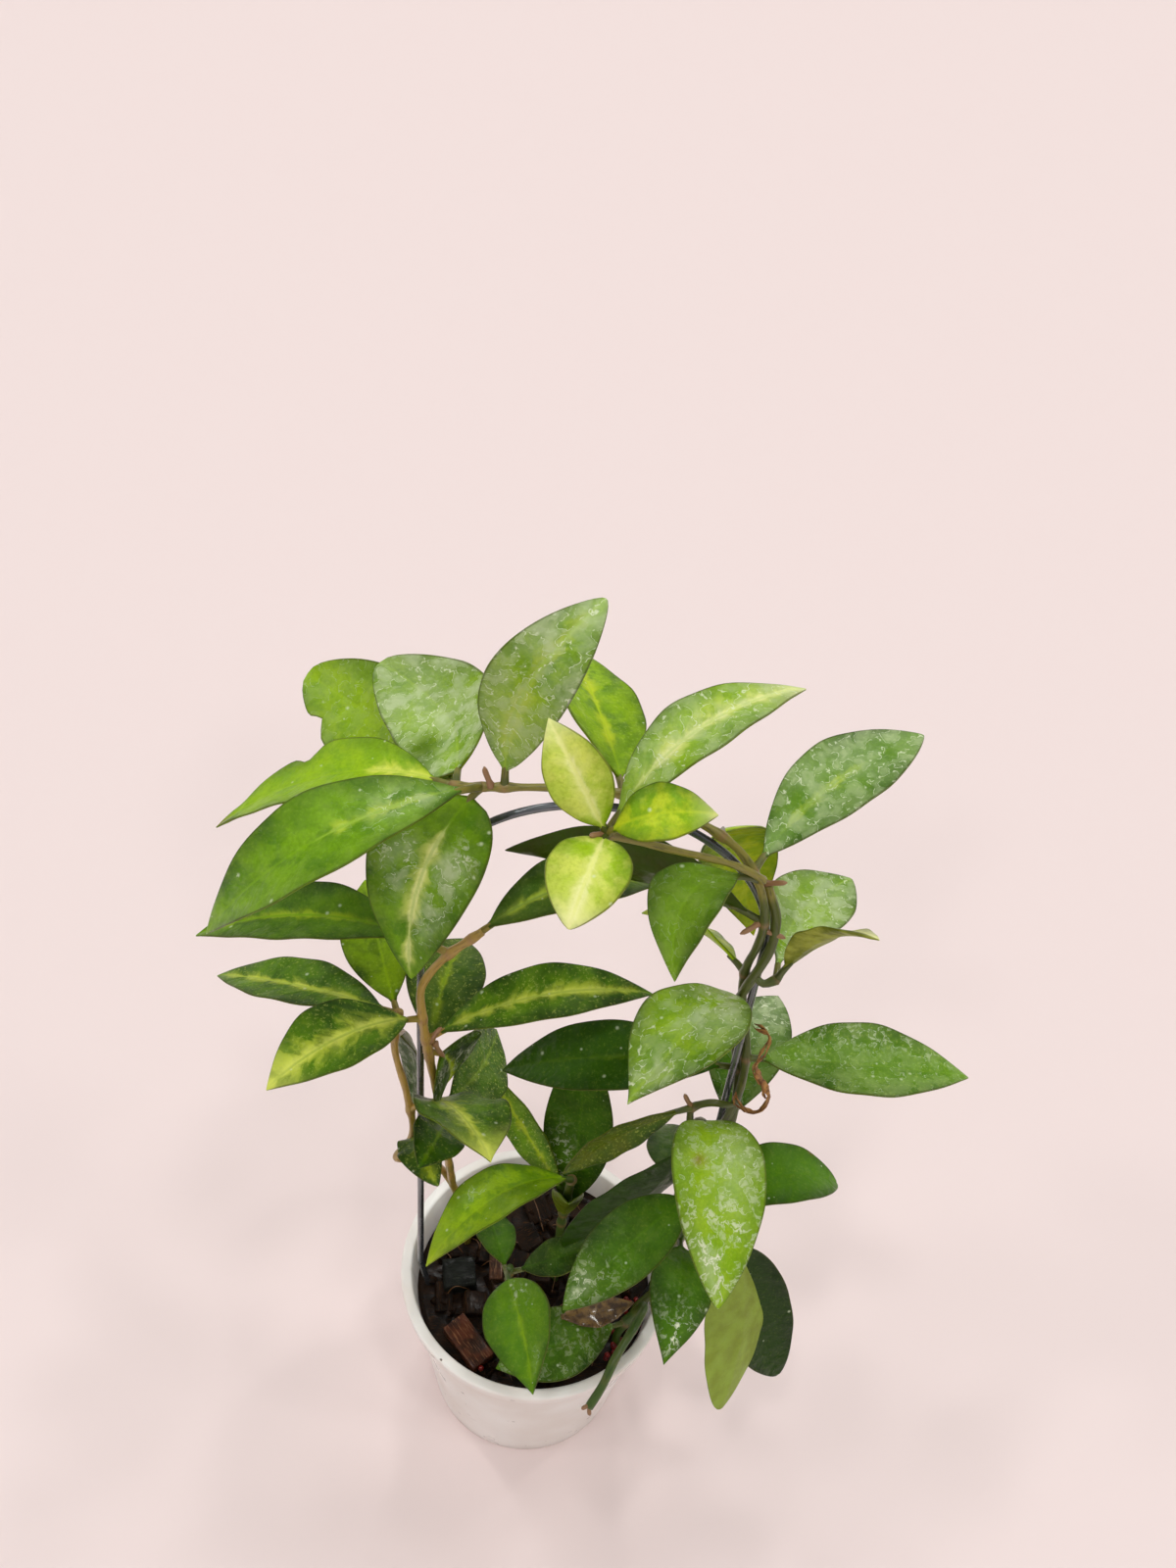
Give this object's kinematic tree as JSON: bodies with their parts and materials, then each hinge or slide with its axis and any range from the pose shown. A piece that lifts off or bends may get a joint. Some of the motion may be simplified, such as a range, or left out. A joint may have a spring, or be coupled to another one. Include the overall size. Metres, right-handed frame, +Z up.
{
  "type": "potted hoya plant",
  "caption": "Potted hoya with variegated leaves, trained round a tall wire hoop in a small round plastic nursery pot.",
  "frame": {"origin": "middle of the pot's base, on the surface that the pot stands on", "axes": "+Z up, -Y towards the viewer, +X to the viewer's right; the wire hoop lies in the XZ plane"},
  "size_m": [0.1842, 0.0932, 0.3014],
  "materials": {
    "pot_plastic": "thin white plastic, slightly glossy",
    "bark_mix": "damp bark and husk mix",
    "dark_husk": "damp dark husk chunk",
    "red_bark": "fibrous reddish bark",
    "coated_wire": "dark grey coated wire, glossy",
    "vine_green": "waxy green leaves with paler flecks, wet in places",
    "vine_pale": "waxy yellow-green variegated leaves",
    "vine_dark": "waxy dark green leaves, wet in places",
    "dried_plant": "dry, brown and papery"
  },
  "bodies": {
    "root": {"pot": "pot_plastic", "potting_mix": "bark_mix", "husk_chunk_square": "dark_husk", "husk_chip_red": "red_bark", "husk_chip_thin": "red_bark", "wire_hoop": "coated_wire", "right_vine": "vine_green", "left_vine": "vine_pale", "centre_shoot": "vine_pale", "front_shoot": "vine_green", "low_right_shoot": "vine_dark", "cut_shoot": "vine_dark", "dried_tendril": "dried_plant", "fallen_leaf": "dried_plant"}
  },
  "joints": []
}
